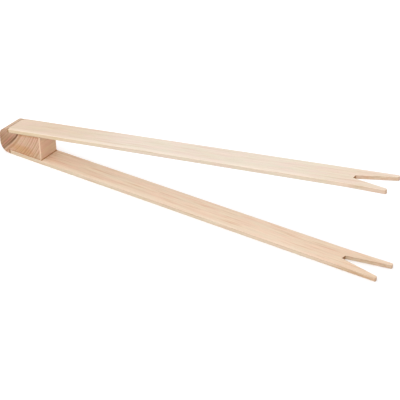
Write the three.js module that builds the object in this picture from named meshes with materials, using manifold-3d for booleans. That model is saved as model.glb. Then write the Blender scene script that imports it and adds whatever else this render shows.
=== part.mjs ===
// Wooden print tongs: two beech strips glued into the rabbets of a wedge-shaped head block.
// Each strip is a leaf spring, and its free end is sawn into a two-pronged tip.
//
// Millimetres, +Z up. The tongs lie on the outer face of the lower arm. The origin is on
// that face, mid-width, under the front face of the head block. +X runs along the lower
// arm to its tip and +Y across the arms.

import * as THREE from 'three';
import { mergeVertices } from 'three/addons/utils/BufferGeometryUtils.js';
import Module from 'manifold-3d';

// ---- Driving dimensions ----

const DEGREE = Math.PI / 180;

// Arms
const ARM_WIDTH = 18.7;
const ARM_THICKNESS = 2.8;
const ARM_ARRIS = 0.35; // flat taken off every long edge
const OPENING_ANGLE = 9.05 * DEGREE; // between the inner faces of the relaxed arms
const HEEL_LENGTH = 29.8; // the glued end, measured back from the front face of the head
const HEEL_CORNER = 1.2; // radius of its plan corners

// Reach of the prongs and of the notch floor beyond the front face of the head. The ends
// are sawn and bent by eye, so the near (-Y) and far (+Y) sides differ a little: spread is
// how far a prong's end leans out of line, and floorShift moves the notch towards +Y.
const UPPER_TIP = {
  near: { reach: 263.8, floor: 239.4, spread: 1 },
  far: { reach: 264.4, floor: 239.4, spread: 0 },
  floorShift: 0,
};
const LOWER_TIP = {
  near: { reach: 259.7, floor: 233.2, spread: 0 },
  far: { reach: 262.7, floor: 234, spread: 1 },
  floorShift: 0.5,
};
const NOTCH_FLOOR_WIDTH = 3.7;
const PRONG_END_WIDTH = 2.4;
const PRONG_CORNER = 0.5; // chamfer on the plan corners of a prong's end

// Head block
const HEAD_LENGTH = 37.7;
const HEAD_WIDTH = 18.1;
const HEAD_FRONT_HEIGHT = 19.15; // between the inner faces of the arms, at the front face
const HEAD_BACK_RADIUS = 7.5;
const HEAD_CORNER_CHAMFER = 0.4; // on the four upright corners

// Glue
const BOND_GAP = 0.3; // between an arm and its rabbet
const GLUE_THICKNESS = 0.2;
const GLUE_INSET = 0.4; // the film stops short of the faces of the wood

// Spring flexure. An end-loaded leaf spring turns about a point 15 % of its free length
// from where it is held, so each arm is cut across there.
const FLEX_FRACTION = 0.15;
const FLEX_SLIT = 0.4;

// ---- Worked out from the driving dimensions ----

const HALF_WIDTH = ARM_WIDTH / 2;
const LIP_FRONT = -(HEEL_LENGTH + BOND_GAP);
const FREE_LENGTH = (UPPER_TIP.far.reach + LOWER_TIP.far.reach) / 2;
const FLEX_X = FLEX_FRACTION * FREE_LENGTH;
const UPPER_SEAT_HEIGHT = ARM_THICKNESS + HEAD_FRONT_HEIGHT;

// ---- Materials ----

const beechArm = () => new THREE.MeshStandardMaterial({ color: 0xe6cbae, roughness: 0.62, metalness: 0 });
const beechHead = () => new THREE.MeshStandardMaterial({ color: 0xb98d68, roughness: 0.7, metalness: 0 });
const driedGlue = () => new THREE.MeshStandardMaterial({ color: 0x8a5c33, roughness: 0.45, metalness: 0 });

// ---- Helpers ----

const wasm = await Module();
wasm.setup();

function toSolid(geometry) {
  const bare = geometry.clone();
  bare.deleteAttribute('normal');
  bare.deleteAttribute('uv');
  const merged = mergeVertices(bare, 1e-4);
  return new wasm.Manifold(new wasm.Mesh({
    numProp: 3,
    vertProperties: new Float32Array(merged.attributes.position.array),
    triVerts: new Uint32Array(merged.index.array),
  }));
}

function toGeometry(solid) {
  const mesh = solid.getMesh();
  const geometry = new THREE.BufferGeometry();
  geometry.setAttribute('position', new THREE.BufferAttribute(new Float32Array(mesh.vertProperties), 3));
  geometry.setIndex(new THREE.BufferAttribute(new Uint32Array(mesh.triVerts), 1));
  geometry.computeVertexNormals();
  return geometry;
}

function piece(name, geometry, material) {
  const mesh = new THREE.Mesh(geometry, material);
  mesh.name = name;
  return mesh;
}

// A side outline, drawn with X along the tongs and Y standing for height, becomes a body
// of the given width, centred on Y = 0.
function extrudeAcross(outline, width) {
  const settings = { depth: width, bevelEnabled: false, curveSegments: 16 };
  const geometry = new THREE.ExtrudeGeometry(outline, settings);
  geometry.translate(0, 0, -width / 2);
  geometry.rotateX(Math.PI / 2);
  return geometry;
}

// ---- Arms ----

// A strip cut to a plan outline. Its inner face is at z = 0 and its outer face at z = ARM_THICKNESS.
function strip(outline) {
  const geometry = new THREE.ExtrudeGeometry(outline, {
    depth: ARM_THICKNESS - 2 * ARM_ARRIS,
    bevelEnabled: true,
    bevelSegments: 1,
    bevelThickness: ARM_ARRIS,
    bevelSize: ARM_ARRIS,
    bevelOffset: -ARM_ARRIS,
    curveSegments: 4,
  });
  geometry.translate(0, 0, ARM_ARRIS);
  return geometry;
}

// The glued heel and the first stretch of free arm, up to the flexure.
function armRootOutline() {
  const end = FLEX_X - FLEX_SLIT / 2;
  const r = HEEL_CORNER;
  const outline = new THREE.Shape();
  outline.moveTo(end, -HALF_WIDTH);
  outline.lineTo(end, HALF_WIDTH);
  outline.absarc(-HEEL_LENGTH + r, HALF_WIDTH - r, r, Math.PI / 2, Math.PI, false);
  outline.absarc(-HEEL_LENGTH + r, -HALF_WIDTH + r, r, Math.PI, 1.5 * Math.PI, false);
  outline.closePath();
  return outline;
}

// One prong's edge from its root on the arm's edge, round its end and back to the notch
// floor. side is -1 for the near prong and 1 for the far one.
function prongPoints(tip, side) {
  const prong = side < 0 ? tip.near : tip.far;
  const outer = side * (HALF_WIDTH + prong.spread);
  const inner = outer - side * PRONG_END_WIDTH;
  const floorY = tip.floorShift + side * NOTCH_FLOOR_WIDTH / 2;
  const c = PRONG_CORNER;
  return [
    [prong.floor, side * HALF_WIDTH],
    [prong.reach - c, outer],
    [prong.reach, outer - side * c],
    [prong.reach, inner + side * c],
    [prong.reach - c, inner],
    [prong.floor, floorY],
  ];
}

// The blade from the flexure to the two prongs. The notch narrows to a flat floor.
function armBladeOutline(tip) {
  const start = FLEX_X + FLEX_SLIT / 2;
  const nearProng = prongPoints(tip, -1);
  const farProng = prongPoints(tip, 1).reverse();
  const points = [[start, -HALF_WIDTH], ...nearProng, ...farProng, [start, HALF_WIDTH]];
  return new THREE.Shape(points.map(([x, y]) => new THREE.Vector2(x, y)));
}

// The glue under an arm's heel and behind its end, as one L-shaped film. In the arm's own
// frame the rabbet floor is below z = 0 and the lip stands behind x = -HEEL_LENGTH.
function glueOutline() {
  const clearance = (BOND_GAP - GLUE_THICKNESS) / 2;
  const back = LIP_FRONT + clearance;
  const bottom = -BOND_GAP + clearance;
  const front = -GLUE_INSET;
  const top = ARM_THICKNESS - GLUE_INSET;
  const outline = new THREE.Shape();
  outline.moveTo(back, bottom);
  outline.lineTo(front, bottom);
  outline.lineTo(front, bottom + GLUE_THICKNESS);
  outline.lineTo(back + GLUE_THICKNESS, bottom + GLUE_THICKNESS);
  outline.lineTo(back + GLUE_THICKNESS, top);
  outline.lineTo(back, top);
  outline.closePath();
  return outline;
}

// One arm in its own frame: x = 0 over the front face of the head, inner face at z = 0.
function arm(side, tip) {
  const group = new THREE.Group();
  const glueFilm = extrudeAcross(glueOutline(), HEAD_WIDTH - 2 * GLUE_INSET);
  group.add(piece(`${side}_arm_root`, strip(armRootOutline()), beechArm()));
  group.add(piece(`${side}_arm_blade`, strip(armBladeOutline(tip)), beechArm()));
  group.add(piece(`${side}_glue_line`, glueFilm, driedGlue()));
  return group;
}

// The upper arm rises from its seat by the opening angle.
function upperArm() {
  const group = arm('upper', UPPER_TIP);
  group.position.z = UPPER_SEAT_HEIGHT;
  group.rotation.y = -OPENING_ANGLE;
  return group;
}

// The lower arm is the same strip turned over about its length, so its outer face is down
// and its near and far sides change places.
function lowerArm() {
  const turnedOver = { near: LOWER_TIP.far, far: LOWER_TIP.near, floorShift: -LOWER_TIP.floorShift };
  const group = arm('lower', turnedOver);
  group.position.z = ARM_THICKNESS;
  group.rotation.x = Math.PI;
  return group;
}

// ---- Head block ----

// A point of the upper arm's frame, in the frame of the whole tongs.
function fromUpperArm(x, z) {
  return new THREE.Vector2(
    x * Math.cos(OPENING_ANGLE) - z * Math.sin(OPENING_ANGLE),
    UPPER_SEAT_HEIGHT + x * Math.sin(OPENING_ANGLE) + z * Math.cos(OPENING_ANGLE),
  );
}

// Side view: a wedge between the arms with a rabbet above and below, and behind them a
// round-backed lip that finishes flush with the outer faces of both arms.
function headSideOutline() {
  const r = HEAD_BACK_RADIUS;
  const lowerSeat = ARM_THICKNESS + BOND_GAP;
  const slope = Math.tan(OPENING_ANGLE);

  // Where the front face meets the upper rabbet floor
  const seat = fromUpperArm(0, -BOND_GAP);
  const frontTop = seat.y - slope * seat.x;

  // Centre of the upper back rounding, tangent to the back and to the upper arm's outer face
  const outer = fromUpperArm(0, ARM_THICKNESS);
  const centreX = r - HEAD_LENGTH;
  const upperCentreZ = outer.y + slope * (centreX - outer.x) - r / Math.cos(OPENING_ANGLE);

  const lipTop = fromUpperArm(LIP_FRONT, ARM_THICKNESS);
  const lipFoot = fromUpperArm(LIP_FRONT, -BOND_GAP);

  const outline = new THREE.Shape();
  outline.moveTo(0, lowerSeat);
  outline.lineTo(0, frontTop);
  outline.lineTo(lipFoot.x, lipFoot.y);
  outline.lineTo(lipTop.x, lipTop.y);
  outline.absarc(centreX, upperCentreZ, r, Math.PI / 2 + OPENING_ANGLE, Math.PI, false);
  outline.absarc(centreX, r, r, Math.PI, 1.5 * Math.PI, false);
  outline.lineTo(LIP_FRONT, 0);
  outline.lineTo(LIP_FRONT, lowerSeat);
  outline.closePath();
  return outline;
}

// Plan view: a rectangle with its four upright corners taken off.
function headPlanOutline() {
  const c = HEAD_CORNER_CHAMFER;
  const y = HEAD_WIDTH / 2;
  const outline = new THREE.Shape();
  outline.moveTo(-HEAD_LENGTH + c, -y);
  outline.lineTo(-c, -y);
  outline.lineTo(0, -y + c);
  outline.lineTo(0, y - c);
  outline.lineTo(-c, y);
  outline.lineTo(-HEAD_LENGTH + c, y);
  outline.lineTo(-HEAD_LENGTH, y - c);
  outline.lineTo(-HEAD_LENGTH, -y + c);
  outline.closePath();
  return outline;
}

function headBlock() {
  const allHeights = 4 * HEAD_FRONT_HEIGHT;
  const side = toSolid(extrudeAcross(headSideOutline(), HEAD_WIDTH + 2));
  const settings = { depth: allHeights, bevelEnabled: false };
  const planGeometry = new THREE.ExtrudeGeometry(headPlanOutline(), settings);
  planGeometry.translate(0, 0, -allHeights / 2);
  const plan = toSolid(planGeometry);
  return piece('head_block', toGeometry(side.intersect(plan)), beechHead());
}

// ---- Tongs ----

const tongs = new THREE.Group();
tongs.add(headBlock());
tongs.add(upperArm());
tongs.add(lowerArm());
tongs.updateMatrixWorld(true);

export default tongs;
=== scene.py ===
"""Wooden print tongs: two beech strips glued into a wedge-shaped head block.

Each strip is one continuous piece from the head to its blade, cut closely across where it flexes.
Metres, +Z up.
"""

import math

import bmesh
import bpy
import numpy as np
from mathutils import Matrix, Vector, noise


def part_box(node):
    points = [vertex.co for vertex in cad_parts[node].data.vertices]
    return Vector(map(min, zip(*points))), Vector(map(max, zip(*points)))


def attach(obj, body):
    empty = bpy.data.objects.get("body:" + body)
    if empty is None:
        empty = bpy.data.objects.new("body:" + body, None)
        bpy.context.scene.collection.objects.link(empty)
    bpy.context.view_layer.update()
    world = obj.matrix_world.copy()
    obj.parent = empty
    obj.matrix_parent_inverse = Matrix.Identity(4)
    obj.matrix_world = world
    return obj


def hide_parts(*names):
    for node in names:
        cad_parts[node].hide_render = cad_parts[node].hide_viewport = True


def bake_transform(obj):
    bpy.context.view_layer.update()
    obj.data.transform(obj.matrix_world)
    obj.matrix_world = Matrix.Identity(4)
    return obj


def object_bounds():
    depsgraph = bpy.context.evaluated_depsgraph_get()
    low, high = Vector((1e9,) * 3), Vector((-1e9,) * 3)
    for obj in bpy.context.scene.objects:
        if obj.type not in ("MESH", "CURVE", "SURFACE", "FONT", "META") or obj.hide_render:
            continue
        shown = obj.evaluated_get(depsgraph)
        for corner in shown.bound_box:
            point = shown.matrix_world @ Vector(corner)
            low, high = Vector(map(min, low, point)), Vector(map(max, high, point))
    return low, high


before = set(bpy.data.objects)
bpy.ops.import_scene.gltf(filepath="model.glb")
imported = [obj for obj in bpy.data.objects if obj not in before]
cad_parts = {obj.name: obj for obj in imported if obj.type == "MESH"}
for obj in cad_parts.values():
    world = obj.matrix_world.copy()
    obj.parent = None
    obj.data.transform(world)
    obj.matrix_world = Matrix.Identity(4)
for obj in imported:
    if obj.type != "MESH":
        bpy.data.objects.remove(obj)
cad_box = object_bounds()

MM = 0.001

# ---- Shapes ----

WELD = 1e-6  # points closer than this are one point
STRAIGHT = math.radians(1)  # an outline that turns less than this runs straight on
CORNER = math.radians(25)  # and an arm's outline has a corner where it turns more than this
SHARP = math.radians(50)  # edges steeper than this are shaded sharp
ARM_ARRIS = 0.55 * MM  # radius worn on the long edges of an arm
ARM_ARRIS_STEPS = 4
ARM_CORNER = 0.2 * MM  # radius of the upright corners of the prongs and the notch
ARM_CORNER_STEPS = 3
ARRIS_WOBBLE = 0.05 * MM  # how unevenly the arm's edges are sanded
ARRIS_WOBBLE_SCALE = Vector((60, 20, 400))  # per metre along, across and through the arm
ARRIS_WOBBLE_SHARE = (0.05, 0.95)  # which part of a rounded edge wobbles, from the flat face down
HEAD_ARRIS = 0.35 * MM
HEAD_ARRIS_STEPS = 4
HEAD_FRONT_ARRIS = 0.9 * MM  # on its two upright front corners
HEAD_FRONT_ARRIS_STEPS = 5
FLEX_STEP = 1.6 * MM  # spacing of the cross cuts where an arm bends
STRAIGHT_STEP = 6 * MM  # and along the rest of it

CAD_GAP = 0.3 * MM  # between an arm and the head, where the glue is
GLUE_CLEARANCE = 0.015 * MM  # between the glue and the wood on either side of it
GLUE_SIDE_INSET = 0.12 * MM
GLUE_SIDE_WOBBLE = 0.07 * MM
GLUE_WOBBLE_SCALE = 900  # per metre
GLUE_FILLET = 0.35 * MM  # the bead left in the corner between an arm and the head's front
GLUE_DIP = 0.35 * MM  # how far the glue stands below the arm's outer face at the lip
GLUE_SQUEEZE = 0.04 * MM  # how far it stops short of the arm's side where it squeezed out at the heel
GLUE_STEPS = 5  # straight pieces in each of its arcs
GLUE_RELIEF = 0.05 * MM
GLUE_TRANSLUCENCY = 0.5 * MM  # how far light spreads inside it

# ---- Wood: lengths in mm ----

END_GRAIN_CURVE = 0.7  # below 1, a face counts as end grain sooner as it turns across the grain
UNDERSIDE = -0.1  # faces that look further down than this get painted shade along their edges, and the others a painted highlight

# How often each pattern repeats per mm, along the grain and across it
DRIFT_SCALE = (0.007, 0.02)
RIPPLE_SCALE = (0.025, 0.2)
STREAK_SCALE = (0.035, 0.85)
MOTTLE_SCALE = (0.07, 0.2)
FIBRE_SCALE = (0.05, 1.6)
PORE_SCALE = (0.3, 2.1)
SAWN_SCALE = (0.05, 1.1)

RING_DRIFT = 9.0  # how far the rings wander over the length of the tree
RING_RIPPLE = 0.5  # and over a few centimetres
YEAR_SCALE = 0.55  # how quickly wide and narrow rings follow each other, per ring
YEAR_SHIFT = 1.3  # rings
PORE_SHADE = 0.13  # how much darker a pore is
RELIEF = 0.05 * MM  # depth of the pores between the fibres, in metres

# Where the pith of the tree lies from each piece, across its grain
HEAD_PITH = (-120, 86)
UPPER_ARM_PITH = (46, -58)
LOWER_ARM_PITH = (-38, 61)

# Most pairs below say where a mark begins, and where it is at its full strength.
# Marks on the arms, measured from the head's front, back from the tips, or out from the middle
HEEL_TINT_UPPER = (85, 5)
HEEL_TINT_LOWER = (60, 0)
HEEL_CORNER = (-27.9, -29.0)
HEEL_CORNER_ACROSS = (6.8, 8.4)
TIP_TINT = (82.7, 12.7)
PRONGS = (24.7, 16.7)
NOTCH_FLOOR = (20.7, 22.7)
PALE_EDGE = (27.7, 57.7)
PALE_EDGE_ACROSS = (5.0, 8.5)

# Marks on the head: radii from the pith, heights from the table, places from the front
HEARTWOOD_RADIUS = 119.4
HEARTWOOD_FADE = (0.4, -0.4)
BOUNDARY_LINE = (0.95, 0.25)
BOUNDARY_HEIGHT = (2.0, 16.0)
SECOND_LINE_OFFSET = 2.3  # outside the heartwood's boundary
SECOND_LINE = (0.9, 0.2)
CROWN_HEIGHT = (11.0, 19.0)
LIP_TOP_HEIGHT = (18.0, 20.5)
GLUE_PATCH_CENTRE = (-16.5, 6.8)
GLUE_PATCH_RADII = (12.5, 4.2)
GLUE_BLOTCH_SCALE = (0.25, 0.45)  # per mm, along the head and up it
LOWER_JOINT_HEIGHT = (4.6, 2.9)
LOWER_JOINT_PLACE = (-29.5, -25.0)
UPPER_JOINT_HEIGHT = (19.4, 21.6)  # at the head's front

# ---- Studio ----

HORIZON_LIGHT = 0.35
ZENITH_LIGHT = 1.05
ZENITH_FROM = 0.8  # the height on the unit sphere from which it is brightest
BACKDROP_LIGHT = 1.0
KEY_PLACE = Vector((-0.35, -0.85, 1.25))  # metres from the object
KEY_SIZE = 2.4
KEY_POWER = 9  # watts
FILL_PLACE = Vector((1.3, -0.35, 0.45))
FILL_SIZE = 0.8
FILL_POWER = 2.5
FLOOR_SIZE = 6.0
FLOOR_CELLS = 24
FLOOR_CLEARANCE = 0.02 * MM
FLOOR_MOTTLE_SCALE = 90.0  # per metre
FLOOR_RELIEF = 0.02 * MM
FLOOR_BOUNCE = (238, 237, 235)  # what the floor throws back at the object
FLOOR_OVEREXPOSURE = (0.19, 0.07)  # round the head, and round the tips
FLOOR_FADE = (0.5, 1.6)  # metres from the object where the floor melts into the backdrop

CAMERA_AZIMUTH = math.radians(32.30)
CAMERA_ELEVATION = math.radians(32.75)
CAMERA_DISTANCE = 696.5 * MM
CAMERA_SHIFT_RIGHT = 13.4 * MM  # of the aim from the middle of the object's box
CAMERA_SHIFT_UP = -25.1 * MM
CAMERA_LENS = 95.5  # mm
CAMERA_SENSOR = 36  # mm


# ---- Reading the frame ----


def weld(node):
    """A CAD node's mesh with the vertices that its faces share made into one."""
    bm = bmesh.new()
    bm.from_mesh(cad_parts[node].data)
    bmesh.ops.remove_doubles(bm, verts=bm.verts, dist=WELD)
    return bm


def walk(edges):
    """The points of a closed ring of edges, in order."""
    neighbours = {}
    for edge in edges:
        a, b = edge.verts
        neighbours.setdefault(a, []).append(b)
        neighbours.setdefault(b, []).append(a)
    start = min(neighbours, key=lambda v: v.co.x)
    ring, previous, current = [start.co.copy()], start, neighbours[start][0]
    while current is not start:
        ring.append(current.co.copy())
        onward = [v for v in neighbours[current] if v is not previous]
        previous, current = current, onward[0]
    return ring


def without_straights(ring):
    """A closed ring of points without the ones that lie on a straight stretch."""
    kept = []
    for i, point in enumerate(ring):
        before = point - ring[i - 1]
        after = ring[(i + 1) % len(ring)] - point
        if before.angle(after) > STRAIGHT:
            kept.append(point)
    return kept


def section(node, point, normal, to_own):
    """The outline in which a plane cuts a CAD node, in the frame that to_own leads to."""
    bm = weld(node)
    geometry = bm.verts[:] + bm.edges[:] + bm.faces[:]
    cut = bmesh.ops.bisect_plane(bm, geom=geometry, plane_co=point, plane_no=normal)
    edges = [item for item in cut["geom_cut"] if isinstance(item, bmesh.types.BMEdge)]
    ring = without_straights(walk(edges))
    bm.free()
    return [to_own @ corner for corner in ring]


def arm_frame(side):
    """The matrix that leads from an arm's own frame to the object's, and the arm's thickness.

    Its own x runs to its tip and its own z out of its outer face, from where its inner face
    leaves the head's front.
    """
    outward = 1 if side == "upper" else -1
    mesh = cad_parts[side + "_arm_root"].data
    z = max(mesh.polygons, key=lambda face: face.area).normal.copy()
    if z.z * outward < 0:
        z.negate()
    x = Vector((0, 1, 0)).cross(z) * outward
    y = z.cross(x)
    inner = min(vertex.co.dot(z) for vertex in mesh.vertices)
    outer = max(vertex.co.dot(z) for vertex in mesh.vertices)
    matrix = Matrix((x, y, z)).transposed().to_4x4()
    matrix.translation = (0, 0, inner / z.z)
    return matrix, outer - inner


def arm_outline(side, part, to_row, thickness):
    """The outline of an arm's root or blade, halfway through it and in its own frame."""
    middle = to_row @ Vector((0, 0, thickness / 2))
    outward = to_row.to_3x3() @ Vector((0, 0, 1))
    return section(side + "_arm_" + part, middle, outward, to_row.inverted())


# ---- Mesh helpers ----


def counter_clockwise(points):
    area = sum(a[0] * b[1] - b[0] * a[1] for a, b in zip(points, points[1:] + points[:1]))
    return points if area > 0 else points[::-1]


def chain(points, keep):
    """The kept points of a closed ring as one unbroken run."""
    count = len(points)
    first = next(i for i in range(count) if keep(points[i]) and not keep(points[i - 1]))
    run = [points[(first + i) % count] for i in range(count)]
    return [point for point in run if keep(point)]


def prism(outline, low, high):
    """A closed body between two heights along z, from an outline of (x, y) points."""
    bm = bmesh.new()
    outline = counter_clockwise([(p[0], p[1]) for p in outline])
    bottom = [bm.verts.new((x, y, low)) for x, y in outline]
    top = [bm.verts.new((x, y, high)) for x, y in outline]
    bm.faces.new(bottom[::-1])
    bm.faces.new(top)
    for i in range(len(outline)):
        j = (i + 1) % len(outline)
        bm.faces.new((bottom[i], bottom[j], top[j], top[i]))
    bm.normal_update()
    return bm


def is_upright(edge):
    return abs(edge.verts[0].co.z - edge.verts[1].co.z) > WELD


def round_edges(bm, edges, radius, segments):
    bmesh.ops.bevel(
        bm,
        geom=edges,
        offset=radius,
        offset_type="OFFSET",
        segments=segments,
        profile=0.5,
        affect="EDGES",
        clamp_overlap=True,
    )


def cross_cut(bm, positions):
    """Adds an edge loop across the body at each x."""
    for x in positions:
        geometry = bm.verts[:] + bm.edges[:] + bm.faces[:]
        bmesh.ops.bisect_plane(bm, geom=geometry, plane_co=(x, 0, 0), plane_no=(1, 0, 0))


def add_body(bm, outline, low, high):
    """Adds one more closed prism to a mesh."""
    extra = prism(outline, low, high)
    mesh = bpy.data.meshes.new("extra")
    extra.to_mesh(mesh)
    extra.free()
    bm.from_mesh(mesh)
    bpy.data.meshes.remove(mesh)


def store_for_faces(mesh, name, values):
    attribute = mesh.attributes.new(name, "FLOAT", "FACE")
    attribute.data.foreach_set("value", np.asarray(values, np.float32))


def finish_piece(name, bm, to_row, grain_axes, pith, material):
    """Turns a bmesh in its own frame into a piece, with what its wood needs to know stored on it.

    grain: the place in mm, along the grain first, then across it from the pith of the tree.
    end_grain: 1 on faces that cut across the grain. flank: 1 on the faces that look along the first
    axis across it, which get painted side light. The edge attribute: 1 halfway round an upper edge,
    which gets a painted highlight, and -1 halfway round a lower one, which gets painted shade.
    grain_axes names the piece's own axes that run along the grain and across it.
    """
    along, across, other = grain_axes
    mesh = bpy.data.meshes.new(name)
    bm.to_mesh(mesh)
    bm.free()
    own = np.array([vertex.co for vertex in mesh.vertices])
    grain = [own[:, along] / MM, own[:, across] / MM - pith[0], own[:, other] / MM - pith[1]]
    stored = mesh.attributes.new("grain", "FLOAT_VECTOR", "POINT")
    stored.data.foreach_set("vector", np.stack(grain, axis=1).astype(np.float32).ravel())
    normals = np.array([face.normal for face in mesh.polygons])
    store_for_faces(mesh, "end_grain", np.abs(normals[:, along]) ** END_GRAIN_CURVE)
    store_for_faces(mesh, "flank", np.abs(normals[:, across]))
    mesh.transform(to_row)
    # Edges of upward faces get a painted highlight, and edges of downward faces painted shade
    upward = np.array([1 if face.normal.z > UNDERSIDE else -1 for face in mesh.polygons])
    flat = normals[:, 2] ** 2
    store_for_faces(mesh, "edge_light_and_shade", upward * 4 * flat * (1 - flat))
    mesh.polygons.foreach_set("use_smooth", [True] * len(mesh.polygons))
    mesh.set_sharp_from_angle(angle=SHARP)
    mesh.materials.append(material)
    piece = bpy.data.objects.new(name, mesh)
    bpy.context.scene.collection.objects.link(piece)
    weighted = piece.modifiers.new("flat faces stay flat", "WEIGHTED_NORMAL")
    weighted.keep_sharp = True
    return piece


# ---- Materials ----


def linear(red, green, blue):
    """A colour given as 0-255 display values, as the shader wants it."""

    def channel(value):
        value /= 255
        return value / 12.92 if value <= 0.04045 else ((value + 0.055) / 1.055) ** 2.4

    return (channel(red), channel(green), channel(blue), 1)


class Graph:
    """A material whose shader nodes are added one call at a time."""

    def __init__(self, name):
        self.material = bpy.data.materials.new(name)
        self.material.use_nodes = True
        self.tree = self.material.node_tree
        self.tree.nodes.clear()

    def node(self, kind, inputs, **settings):
        made = self.tree.nodes.new("ShaderNode" + kind)
        for key, value in settings.items():
            setattr(made, key, value)
        for key, value in inputs.items():
            if isinstance(value, bpy.types.NodeSocket):
                self.tree.links.new(value, made.inputs[key])
            else:
                made.inputs[key].default_value = value
        return made.outputs

    def math(self, operation, *values):
        return self.node("Math", dict(enumerate(values)), operation=operation)[0]

    def add(self, a, b):
        return self.math("ADD", a, b)

    def subtract(self, a, b):
        return self.math("SUBTRACT", a, b)

    def product(self, first, *others):
        for other in others:
            first = self.math("MULTIPLY", first, other)
        return first

    def length(self, x, y):
        return self.math("SQRT", self.add(self.product(x, x), self.product(y, y)))

    def sway(self, value, pattern, reach):
        """The value, moved to and fro by a pattern that runs from 0 to 1."""
        return self.add(value, self.product(self.subtract(pattern, 0.5), reach))

    def combine(self, x, y, z):
        return self.node("CombineXYZ", {0: x, 1: y, 2: z})[0]

    def scaled(self, place, scale):
        """A place as one vector, by a scale along the grain and one across it."""
        along, u, v = place
        return self.combine(
            self.product(along, scale[0]),
            self.product(u, scale[1]),
            self.product(v, scale[1]),
        )

    def step(self, value, start, end, low=0.0, high=1.0):
        """Rises smoothly from low to high while the value goes from start to end."""
        inputs = {"Value": value, "From Min": start, "From Max": end, "To Min": low, "To Max": high}
        return self.node("MapRange", inputs, interpolation_type="SMOOTHSTEP")[0]

    def noise(self, vector, detail=2.0, roughness=0.5):
        inputs = {"Vector": vector, "Scale": 1.0, "Detail": detail, "Roughness": roughness}
        return self.node("TexNoise", inputs)[0]

    def mix(self, factor, a, b, blend="MIX"):
        inputs = {0: factor, 6: a, 7: b}
        return self.node("Mix", inputs, data_type="RGBA", blend_type=blend)[2]

    def tint(self, factor, colour, filter_colour):
        """The colour as seen through a filter, by factor."""
        return self.mix(factor, colour, self.mix(1.0, colour, filter_colour, "MULTIPLY"))

    def attribute(self, name):
        return self.node("Attribute", {}, attribute_name=name)

    def bump(self, height, depth, strength):
        return self.node("Bump", {"Height": height, "Distance": depth, "Strength": strength})[0]

    def surface(self, **inputs):
        """A principled surface. The underscores in the names stand for spaces."""
        named = {key.replace("_", " "): value for key, value in inputs.items()}
        return self.node("BsdfPrincipled", named)[0]

    def finish(self, surface):
        self.node("OutputMaterial", {0: surface})
        return self.material


def growth_rings(g, place, ring_width):
    """The distance from the pith, a random number for each year, and the amount of late wood."""
    radius = g.length(place[1], place[2])
    radius = g.sway(radius, g.noise(g.scaled(place, DRIFT_SCALE), 1.0), RING_DRIFT)
    radius = g.sway(radius, g.noise(g.scaled(place, RIPPLE_SCALE), 2.0), RING_RIPPLE)
    turn = g.math("DIVIDE", radius, ring_width)
    pace = {"W": g.product(turn, YEAR_SCALE), "Scale": 1.0}
    pace = g.node("TexNoise", pace, noise_dimensions="1D")[0]
    turn = g.add(turn, g.product(pace, YEAR_SHIFT))

    # Each ring darkens towards its late wood and ends sharply
    share = g.math("FRACT", turn)
    year = g.node("TexWhiteNoise", {"W": g.math("FLOOR", turn)}, noise_dimensions="1D")[0]
    late_wood = g.product(g.step(share, 0.3, 0.9), g.step(share, 1.0, 0.94))
    late_wood = g.product(late_wood, g.step(year, 0.0, 1.0, 0.3, 1.0))
    return radius, year, late_wood


def fine_grain(g, place):
    """Broad mottle, fibres, and the pores between them."""
    mottle = g.noise(g.scaled(place, MOTTLE_SCALE), 3.0, 0.6)
    fibre = g.noise(g.scaled(place, FIBRE_SCALE), 4.0, 0.65)
    cells = g.node("TexVoronoi", {"Vector": g.scaled(place, PORE_SCALE), "Scale": 1.0})
    pore = g.step(cells[0], 0.22, 0.1)
    return mottle, fibre, pore


def painted_edge_light_and_shade(g, colour, edge_light_and_shade, mottle, edge_highlight_tint):
    """The colour with a painted highlight along the upper edges, and painted shade along the lower
    ones.
    """
    pale = g.product(g.math("MAXIMUM", edge_light_and_shade, 0.0), g.step(mottle, 0.3, 0.7, 0.7, 1.0))
    colour = g.mix(pale, colour, edge_highlight_tint)
    painted_edge_shade = g.math("MAXIMUM", g.product(edge_light_and_shade, -0.8), 0.0)
    return g.tint(painted_edge_shade, colour, linear(206, 208, 210))


def bare_wood(g, colour, end, late_wood, fibre, pore):
    """The surface: roughest on end grain, with fibres, pores and late wood in slight relief."""
    roughness = g.add(g.step(fibre, 0.3, 0.7, 0.58, 0.7), g.product(end, 0.12))
    height = g.subtract(g.product(fibre, 0.6), g.product(pore, 0.5))
    height = g.add(height, g.product(late_wood, 0.25))
    bump = g.bump(height, RELIEF, 0.6)
    return g.surface(Base_Color=colour, Roughness=roughness, Normal=bump, IOR=1.45)


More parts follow.
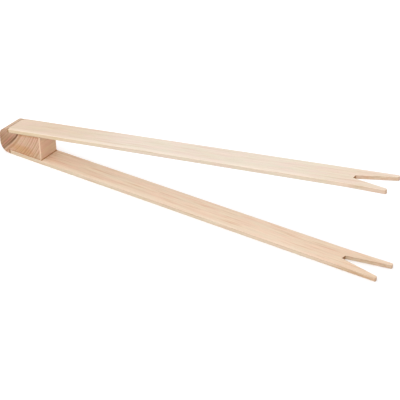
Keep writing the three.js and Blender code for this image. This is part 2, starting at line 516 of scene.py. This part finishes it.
def wood(
    name,
    pith,
    early,
    late,
    straw,
    rose,
    # the colour of the painted highlight along the upper edges
    edge_highlight_tint,
    end_tint,
    # painted light: the tint of the side faces, for how the light falls on them
    side_light_tint,
    ring_width,
    rings,
    end_rings,
    streaks,
    extra,
):
    """Beech: growth rings round the pith, streaks, mottle, fibres, pores, painted side light, a
    painted highlight on upper edges and painted shade on lower ones.

    rings, end_rings and streaks say how strongly each shows: the rings along the grain and on
    end grain, and the streaks. extra(g, colour, spot) adds what only this piece has.
    """
    g = Graph(name)
    place = tuple(g.node("SeparateXYZ", {0: g.attribute("grain")[1]}))
    end = g.attribute("end_grain")[2]
    flank = g.attribute("flank")[2]
    radius, year, late_wood = growth_rings(g, place, ring_width)
    mottle, fibre, pore = fine_grain(g, place)
    streak = g.noise(g.scaled(place, STREAK_SCALE), 3.0, 0.6)
    streak = g.product(g.step(streak, 0.52, 0.72), streaks)

    ring = g.product(late_wood, g.step(end, 0.0, 1.0, rings, end_rings))
    colour = g.mix(ring, early, late)
    colour = g.tint(1.0, colour, g.mix(g.step(mottle, 0.36, 0.64), straw, rose))
    colour = g.tint(streak, colour, linear(232, 206, 182))
    shade = g.step(fibre, 0.25, 0.75, 0.93, 1.05)
    shade = g.product(shade, g.subtract(1.0, g.product(pore, PORE_SHADE)))
    colour = g.tint(1.0, colour, g.combine(shade, shade, shade))
    spot = {
        "place": place,
        "across": g.add(place[1], pith[0]),
        "height": g.add(place[2], pith[1]),
        "radius": radius,
        "year": year,
        "late_wood": late_wood,
        "end": end,
        "flank": flank,
        "mottle": mottle,
    }
    colour = extra(g, colour, spot)
    # Painted light: the side faces tinted for the light they get from the side and the floor
    colour = g.tint(flank, colour, side_light_tint)
    colour = g.tint(end, colour, end_tint)
    # A painted highlight along the upper edges, and painted shade along the lower ones
    colour = painted_edge_light_and_shade(g, colour, g.attribute("edge_light_and_shade")[2], mottle, edge_highlight_tint)
    return g.finish(bare_wood(g, colour, end, late_wood, fibre, pore))


def arm_marks(heel, heel_tint, heel_flank_tint, tip_tint, pale_side, pale_tint):
    """What growth, handling and glue left on an arm, and painted shade on its notch floor, as the
    extra of its wood.

    heel says where the heel's tints begin and where they are at their full strength. pale_side
    is the side of its own y, -1 or 1, along which the arm is paler.
    """

    def extra(g, colour, spot):
        along = spot["place"][0]
        from_tip = g.subtract(cad_box[1].x / MM, along)
        across = spot["across"]
        flank = spot["flank"]
        amount = g.product(g.step(along, *heel), g.step(spot["mottle"], 0.3, 0.7, 1.0, 0.8))
        colour = g.tint(amount, colour, g.mix(flank, heel_tint, heel_flank_tint))
        colour = g.tint(g.step(from_tip, *TIP_TINT), colour, tip_tint)

        pale = g.step(g.product(across, pale_side), *PALE_EDGE_ACROSS, 0.0, 0.3)
        pale = g.product(pale, g.step(from_tip, *PALE_EDGE), g.subtract(1.0, flank))
        colour = g.mix(pale, colour, pale_tint)

        # Glue on the heel's rounded corners, saw marks on the prongs, grime and painted shade on the
        # notch floor
        corner = g.step(g.math("ABSOLUTE", across), *HEEL_CORNER_ACROSS)
        corner = g.product(g.step(along, *HEEL_CORNER), corner)
        colour = g.tint(corner, colour, linear(190, 150, 92))
        lines = g.noise(g.scaled(spot["place"], SAWN_SCALE), 2.0)
        sawn = g.product(g.step(from_tip, *PRONGS), flank, g.step(lines, 0.44, 0.62))
        colour = g.tint(sawn, colour, linear(247, 234, 224))
        notch = g.product(g.step(from_tip, *NOTCH_FLOOR), g.step(spot["end"], 0.6, 0.9))
        return g.tint(notch, colour, linear(200, 176, 148))

    return extra


def red_heart(g, colour, spot):
    """Stained heartwood inside a dark boundary ring, paler and pinker towards the upper arm."""
    height = spot["height"]
    end = spot["end"]
    rind = g.subtract(spot["radius"], HEARTWOOD_RADIUS)
    hue = g.mix(g.step(spot["year"], 0.4, 0.6), linear(212, 200, 184), linear(224, 198, 192))
    stained = g.tint(1.0, colour, hue)
    stained = g.mix(g.product(spot["late_wood"], 0.85), stained, linear(134, 94, 72))
    inside = g.product(g.step(rind, *HEARTWOOD_FADE), g.step(end, 0.0, 1.0, 0.3, 1.0))
    crown = g.product(g.step(height, *CROWN_HEIGHT, 0.0, 0.45), end)
    stained = g.mix(crown, stained, linear(226, 186, 164))
    colour = g.mix(inside, colour, stained)

    # The dark line round the heartwood, a fainter one outside it, and the paler top of the lip
    strength = g.step(height, *BOUNDARY_HEIGHT, 0.4, 0.9)
    boundary = g.step(g.math("ABSOLUTE", rind), *BOUNDARY_LINE, 0.0, strength)
    colour = g.mix(g.product(boundary, end), colour, linear(118, 73, 43))
    second = g.math("ABSOLUTE", g.subtract(rind, SECOND_LINE_OFFSET))
    second = g.product(g.step(second, *SECOND_LINE, 0.0, 0.7), end)
    colour = g.tint(second, colour, linear(222, 192, 166))
    lip = g.product(g.step(height, *LIP_TOP_HEIGHT), g.subtract(1.0, end))
    colour = g.tint(lip, colour, linear(238, 244, 248))
    return glue_stain_and_joint_shade(g, colour, spot["across"], height, g.subtract(end, inside))


def glue_stain_and_joint_shade(g, colour, x, height, where):
    """Glue drawn into the end grain low on the side, and a fringe of glue stain and painted shade
    along each joint.
    """
    across, up = GLUE_BLOTCH_SCALE
    blotch = g.noise(g.combine(g.product(x, across), g.product(height, up), 0.0), 3.0)
    dx = g.math("DIVIDE", g.subtract(x, GLUE_PATCH_CENTRE[0]), GLUE_PATCH_RADII[0])
    dz = g.math("DIVIDE", g.subtract(height, GLUE_PATCH_CENTRE[1]), GLUE_PATCH_RADII[1])
    reach = g.sway(g.length(dx, dz), blotch, 0.9)
    patch = g.product(g.step(reach, 1.3, 0.3), where)
    colour = g.tint(patch, colour, linear(247, 232, 208))

    # The fringe: glue stain with painted shade, just above the lower arm and just under the upper one
    lower = g.product(g.step(height, *LOWER_JOINT_HEIGHT), g.step(x, *LOWER_JOINT_PLACE))
    to_row = arm_frame("upper")[0]
    slope = to_row.col[0].z / to_row.col[0].x
    upper = g.step(g.subtract(height, g.product(x, slope)), *UPPER_JOINT_HEIGHT)
    fringe = g.product(g.math("MAXIMUM", lower, upper), g.step(blotch, 0.3, 0.6, 0.4, 0.9))
    return g.tint(g.product(fringe, where), colour, linear(236, 214, 186))


def upper_arm_wood():
    return wood(
        "beech of the upper arm",
        UPPER_ARM_PITH,
        early=linear(232, 220, 206),
        late=linear(220, 201, 181),
        straw=linear(252, 252, 246),
        rose=linear(255, 248, 247),
        # the painted highlight on the upper edges
        edge_highlight_tint=linear(255, 241, 220),
        end_tint=linear(218, 205, 194),
        # painted light on the side faces
        side_light_tint=linear(255, 252, 248),
        ring_width=2.3,
        rings=0.35,
        end_rings=0.6,
        streaks=0.35,
        extra=arm_marks(
            HEEL_TINT_UPPER,
            heel_tint=linear(247, 237, 228),
            heel_flank_tint=linear(255, 247, 228),
            tip_tint=linear(255, 250, 246),
            pale_side=-1,
            pale_tint=linear(252, 236, 220),
        ),
    )


def lower_arm_wood():
    return wood(
        "beech of the lower arm",
        LOWER_ARM_PITH,
        early=linear(237, 218, 199),
        late=linear(225, 192, 167),
        straw=linear(253, 252, 246),
        rose=linear(255, 247, 242),
        # the painted highlight on the upper edges
        edge_highlight_tint=linear(246, 226, 204),
        end_tint=linear(216, 205, 196),
        # painted light on the side faces
        side_light_tint=linear(250, 255, 255),
        ring_width=2.6,
        rings=0.5,
        end_rings=0.7,
        streaks=0.7,
        extra=arm_marks(
            HEEL_TINT_LOWER,
            heel_tint=linear(253, 249, 244),
            heel_flank_tint=linear(253, 249, 244),
            tip_tint=linear(251, 246, 242),
            pale_side=1,
            pale_tint=linear(248, 234, 216),
        ),
    )


def head_wood():
    return wood(
        "beech of the head block",
        HEAD_PITH,
        early=linear(231, 200, 177),
        late=linear(200, 155, 128),
        straw=linear(251, 251, 240),
        rose=linear(255, 244, 241),
        # the painted highlight on the upper edges
        edge_highlight_tint=linear(252, 224, 196),
        end_tint=linear(244, 241, 238),
        # painted light on the side faces
        side_light_tint=linear(249, 247, 243),
        ring_width=1.8,
        rings=0.2,
        end_rings=0.85,
        streaks=0.35,
        extra=red_heart,
    )


def dried_glue(name, dark, light):
    """Amber wood glue, a little cloudy."""
    g = Graph(name)
    cloud = g.noise(g.attribute("grain")[1], 3.0)
    glossy = g.surface(
        Base_Color=g.mix(g.step(cloud, 0.3, 0.7), dark, light),
        Roughness=g.step(cloud, 0.2, 0.8, 0.4, 0.6),
        Normal=g.bump(cloud, GLUE_RELIEF, 0.5),
        Subsurface_Weight=0.2,
        Subsurface_Scale=GLUE_TRANSLUCENCY,
    )
    return g.finish(glossy)


def floor_material():
    """Matt paper with the faintest mottle, overexposed to the camera and duller to the object."""
    g = Graph("studio paper")
    place = g.node("TexCoord", {})[3]
    mottle = g.node("TexNoise", {"Vector": place, "Scale": FLOOR_MOTTLE_SCALE, "Detail": 4.0})[0]
    seen = g.node("LightPath", {})[0]
    along = g.node("SeparateXYZ", {0: place})[0]
    low, high = cad_box
    lift = g.step(along, low.x / 2, high.x, *FLOOR_OVEREXPOSURE)
    white = g.mix(mottle, linear(246, 248, 251), linear(249, 251, 254))
    paper = g.surface(
        Base_Color=g.mix(seen, linear(*FLOOR_BOUNCE), white),
        Roughness=0.9,
        Normal=g.bump(mottle, FLOOR_RELIEF, 0.3),
        Emission_Strength=g.product(seen, lift),
    )
    backdrop = g.node("Emission", {"Strength": BACKDROP_LIGHT})[0]
    distance = g.node("VectorMath", {0: place}, operation="LENGTH")[1]
    far = g.product(g.step(distance, *FLOOR_FADE), seen)
    return g.finish(g.node("MixShader", {0: far, 1: paper, 2: backdrop})[0])


# ---- Pieces ----


def sand_unevenly(bm, thickness):
    """Wobbles the rounded edges of an arm, and leaves its flat faces alone."""
    half = thickness / 2
    shallow, deep = ARRIS_WOBBLE_SHARE
    for vertex in bm.verts:
        depth = half - abs(vertex.co.z - half)
        if shallow * ARM_ARRIS < depth < deep * ARM_ARRIS:
            wave = noise.noise(vertex.co * ARRIS_WOBBLE_SCALE)
            vertex.co.z += math.copysign(ARRIS_WOBBLE * wave, vertex.co.z - half)


def arm(side, material, pith):
    """One unbroken strip from its glued heel to its two prongs, cut closely across where the CAD has
    a hinge.
    """
    to_row, thickness = arm_frame(side)
    root = arm_outline(side, "root", to_row, thickness)
    blade = arm_outline(side, "blade", to_row, thickness)
    flex = (max(p.x for p in root) + min(p.x for p in blade)) / 2
    heel = chain(counter_clockwise(root), lambda p: p.x < 0)
    prongs = chain(counter_clockwise(blade), lambda p: p.x > 2 * flex)
    bm = prism(heel + prongs, 0, thickness)
    upright = [e for e in bm.edges if is_upright(e) and e.calc_face_angle() > CORNER]
    round_edges(bm, upright, ARM_CORNER, ARM_CORNER_STEPS)
    rims = [e for e in bm.edges if not is_upright(e)]
    round_edges(bm, rims, ARM_ARRIS, ARM_ARRIS_STEPS)
    cross_cut(bm, np.arange(0, 2 * flex, FLEX_STEP))
    cross_cut(bm, np.arange(2 * flex, max(p.x for p in prongs), STRAIGHT_STEP))
    sand_unevenly(bm, thickness)
    piece = finish_piece(side + "_arm", bm, to_row, (0, 1, 2), pith, material)
    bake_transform(piece)
    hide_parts(side + "_arm_root", side + "_arm_blade")


def head():
    """The wedge between the arms, its rabbets and its rounded lip, from the CAD's side outline."""
    low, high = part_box("head_block")
    side_view = Matrix(((1, 0, 0, 0), (0, 0, 1, 0), (0, -1, 0, 0), (0, 0, 0, 1)))
    outline = section("head_block", (0, 0, 0), (0, 1, 0), side_view)
    bm = prism(outline, low.y, high.y)
    rims = [e for e in bm.edges if not is_upright(e)]
    front = [e for e in rims if all(abs(v.co.x) < WELD for v in e.verts)]
    round_edges(bm, front, HEAD_FRONT_ARRIS, HEAD_FRONT_ARRIS_STEPS)
    side = (high.y - low.y) / 2
    rims = [e for e in bm.edges if all(abs(abs(v.co.z) - side) < WELD for v in e.verts)]
    round_edges(bm, rims, HEAD_ARRIS, HEAD_ARRIS_STEPS)
    piece = finish_piece("head", bm, side_view.inverted(), (2, 0, 1), HEAD_PITH, head_wood())
    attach(piece, "head")
    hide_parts("head_block")


def glue_film(heel, top, half_width):
    """The L-shaped film under an arm and behind its heel, with a hollow bead at the head's front."""
    c = GLUE_CLEARANCE
    outline = [(heel - CAD_GAP + c, top), (heel - CAD_GAP + c, -CAD_GAP + c), (c, -CAD_GAP + c)]
    for i in range(GLUE_STEPS + 1):
        angle = math.radians(90 * i / GLUE_STEPS)
        x = c + GLUE_FILLET * (1 - math.cos(angle))
        z = -CAD_GAP - GLUE_FILLET * (1 - math.sin(angle))
        outline.append((x, min(z, -c)))
    outline += [(c + GLUE_FILLET, -c), (heel - c, -c), (heel - c, top)]
    bm = prism(outline, -half_width, half_width)
    bm.transform(Matrix(((1, 0, 0, 0), (0, 0, -1, 0), (0, 1, 0, 0), (0, 0, 0, 1))))
    return bm


def heel_pocket(heel, corner, half_arm, half_head, sign):
    """Outline of the glue squeezed out round one rounded heel corner, between it and the lip."""
    outside = half_arm - GLUE_SQUEEZE
    centre_y = half_arm - corner
    reach = corner + GLUE_CLEARANCE
    furthest = math.asin((outside - centre_y) / reach)
    start = math.asin((half_head - centre_y) / reach)
    outline = [
        (heel - CAD_GAP + GLUE_CLEARANCE, half_head),
        (heel - CAD_GAP / 2, (outside + half_head) / 2),
    ]
    for i in range(GLUE_STEPS + 1):
        angle = furthest + (start - furthest) * i / GLUE_STEPS
        outline.append((heel + corner - reach * math.cos(angle), centre_y + reach * math.sin(angle)))
    return [(x, sign * y) for x, y in outline]


def glue(side, material):
    """The dried glue between an arm and the head: the film, its front bead and two corner fills."""
    to_row, thickness = arm_frame(side)
    root = arm_outline(side, "root", to_row, thickness)
    heel = min(p.x for p in root)
    corner = max(p.x for p in root if p.x < 0) - heel
    half_arm = max(p.y for p in root)
    head_low, head_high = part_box("head_block")
    half_head = (head_high.y - head_low.y) / 2 - GLUE_SIDE_INSET
    top = thickness - GLUE_DIP
    bm = glue_film(heel, top, half_head)
    for sign in (-1, 1):
        pocket = heel_pocket(heel, corner, half_arm, half_head, sign)
        add_body(bm, pocket, GLUE_CLEARANCE, top)
    for vertex in bm.verts:
        if abs(vertex.co.y) > half_head - GLUE_CLEARANCE:
            vertex.co.y += GLUE_SIDE_WOBBLE * noise.noise(vertex.co * GLUE_WOBBLE_SCALE)
    piece = finish_piece(side + "_glue", bm, to_row, (0, 1, 2), (0, 0), material)
    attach(piece, "head")
    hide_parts(side + "_glue_line")


# ---- Studio ----


def floor():
    """A pale sheet under the tongs, large enough to fill every view."""
    bm = bmesh.new()
    bmesh.ops.create_grid(bm, x_segments=FLOOR_CELLS, y_segments=FLOOR_CELLS, size=FLOOR_SIZE)
    mesh = bpy.data.meshes.new("floor")
    bm.to_mesh(mesh)
    bm.free()
    mesh.materials.append(floor_material())
    sheet = bpy.data.objects.new("floor", mesh)
    sheet.location.z = cad_box[0].z - FLOOR_CLEARANCE
    bpy.context.scene.collection.objects.link(sheet)


def area_light(name, position, target, size, power, colour):
    data = bpy.data.lights.new(name, "AREA")
    data.shape = "DISK"
    data.size = size
    data.energy = power
    data.color = colour
    lamp = bpy.data.objects.new(name, data)
    lamp.location = position
    lamp.rotation_euler = (target - position).to_track_quat("-Z", "Y").to_euler()
    bpy.context.scene.collection.objects.link(lamp)


def sky():
    """A soft tent of light, brightest overhead, that the camera sees as plain pale grey."""
    world = bpy.data.worlds.new("studio")
    world.use_nodes = True
    tree = world.node_tree
    tree.nodes.clear()
    ray = tree.nodes.new("ShaderNodeTexCoord")
    split = tree.nodes.new("ShaderNodeSeparateXYZ")
    rise = tree.nodes.new("ShaderNodeMapRange")
    path = tree.nodes.new("ShaderNodeLightPath")
    choose = tree.nodes.new("ShaderNodeMix")
    background = tree.nodes.new("ShaderNodeBackground")
    output = tree.nodes.new("ShaderNodeOutputWorld")
    rise.inputs["From Min"].default_value = 0.0
    rise.inputs["From Max"].default_value = ZENITH_FROM
    rise.inputs["To Min"].default_value = HORIZON_LIGHT
    rise.inputs["To Max"].default_value = ZENITH_LIGHT
    choose.inputs[3].default_value = BACKDROP_LIGHT
    background.inputs["Color"].default_value = (1, 1, 1, 1)
    tree.links.new(ray.outputs["Generated"], split.inputs[0])
    tree.links.new(split.outputs["Z"], rise.inputs["Value"])
    tree.links.new(path.outputs["Is Camera Ray"], choose.inputs[0])
    tree.links.new(rise.outputs[0], choose.inputs[2])
    tree.links.new(choose.outputs[0], background.inputs["Strength"])
    tree.links.new(background.outputs[0], output.inputs[0])
    bpy.context.scene.world = world


def studio(centre):
    sky()
    area_light("key", centre + KEY_PLACE, centre, KEY_SIZE, KEY_POWER, (1, 0.985, 0.96))
    area_light("fill", centre + FILL_PLACE, centre, FILL_SIZE, FILL_POWER, (1, 0.97, 0.93))
    bpy.context.scene.view_settings.view_transform = "Standard"


def camera(centre):
    a, e = CAMERA_AZIMUTH, CAMERA_ELEVATION
    back = Vector((math.sin(a) * math.cos(e), -math.cos(a) * math.cos(e), math.sin(e)))
    right = Vector((math.cos(a), math.sin(a), 0))
    up = back.cross(right)
    aim = centre + right * CAMERA_SHIFT_RIGHT + up * CAMERA_SHIFT_UP
    data = bpy.data.cameras.new("camera")
    data.lens = CAMERA_LENS
    data.sensor_width = CAMERA_SENSOR
    data.clip_start = 0.01
    data.clip_end = 50
    made = bpy.data.objects.new("camera", data)
    made.location = aim + back * CAMERA_DISTANCE
    made.rotation_euler = (-back).to_track_quat("-Z", "Y").to_euler()
    bpy.context.scene.collection.objects.link(made)
    bpy.context.scene.camera = made


# ---- The scene ----

head()
arm("upper", upper_arm_wood(), UPPER_ARM_PITH)
arm("lower", lower_arm_wood(), LOWER_ARM_PITH)
glue("upper", dried_glue("dark glue", linear(138, 96, 48), linear(184, 138, 78)))
glue("lower", dried_glue("pale glue", linear(150, 100, 58), linear(194, 148, 98)))

centre = (cad_box[0] + cad_box[1]) / 2
floor()
studio(centre)
camera(centre)
